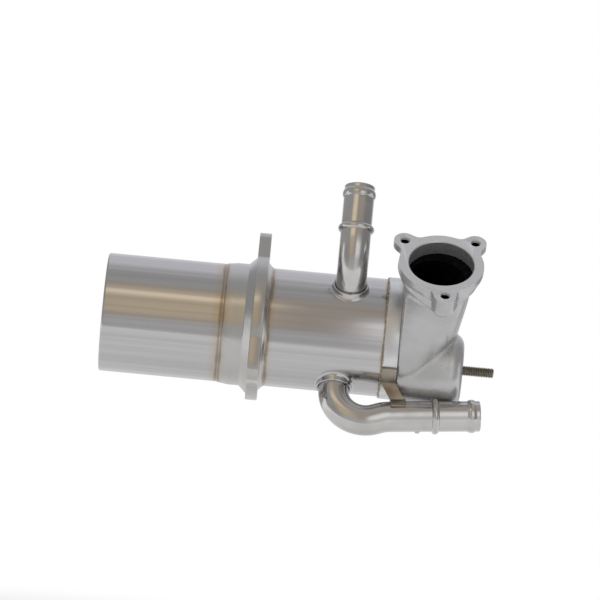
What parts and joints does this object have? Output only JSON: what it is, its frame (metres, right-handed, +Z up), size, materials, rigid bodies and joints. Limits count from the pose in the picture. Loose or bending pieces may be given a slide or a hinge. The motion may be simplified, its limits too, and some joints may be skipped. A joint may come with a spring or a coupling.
{
  "type": "egr cooler",
  "caption": "Tubular exhaust gas cooler: brazed stainless shell with a gas tube bundle, bolt-on mounting flange, two hose pipes for coolant and a cast outlet elbow with a stud.",
  "frame": {"origin": "centre of the mounting flange's sealing face, on the shell's axis", "axes": "+X along the shell's axis towards the outlet elbow and its stud, +Z up towards the flange's single upper bolt ear, -Y towards the side that the outlet faces"},
  "size_m": [0.233, 0.1164, 0.1484],
  "materials": {
    "shell_steel": "satin",
    "flange_steel": "satin",
    "header_steel": "satin",
    "tube_steel": "satin",
    "cast_steel": "matte",
    "stud_steel": "satin",
    "pipe_steel": "gloss",
    "bracket_steel": "satin"
  },
  "bodies": {
    "root": {"shell": "shell_steel", "mounting_flange": "flange_steel", "inlet_header": "header_steel", "outlet_header": "header_steel", "outlet_elbow": "cast_steel", "elbow_stud": "stud_steel", "upper_nipple": "pipe_steel", "lower_pipe": "pipe_steel", "pipe_bracket": "bracket_steel", "gas_tube_01": "tube_steel", "gas_tube_02": "tube_steel", "gas_tube_03": "tube_steel", "gas_tube_04": "tube_steel", "gas_tube_05": "tube_steel", "gas_tube_06": "tube_steel", "gas_tube_07": "tube_steel", "gas_tube_08": "tube_steel", "gas_tube_09": "tube_steel", "gas_tube_10": "tube_steel", "gas_tube_11": "tube_steel", "gas_tube_12": "tube_steel", "gas_tube_13": "tube_steel", "gas_tube_14": "tube_steel", "gas_tube_15": "tube_steel", "gas_tube_16": "tube_steel", "gas_tube_17": "tube_steel", "gas_tube_18": "tube_steel", "gas_tube_19": "tube_steel", "baffle_01": "header_steel", "baffle_02": "header_steel", "baffle_03": "header_steel"}
  },
  "joints": []
}
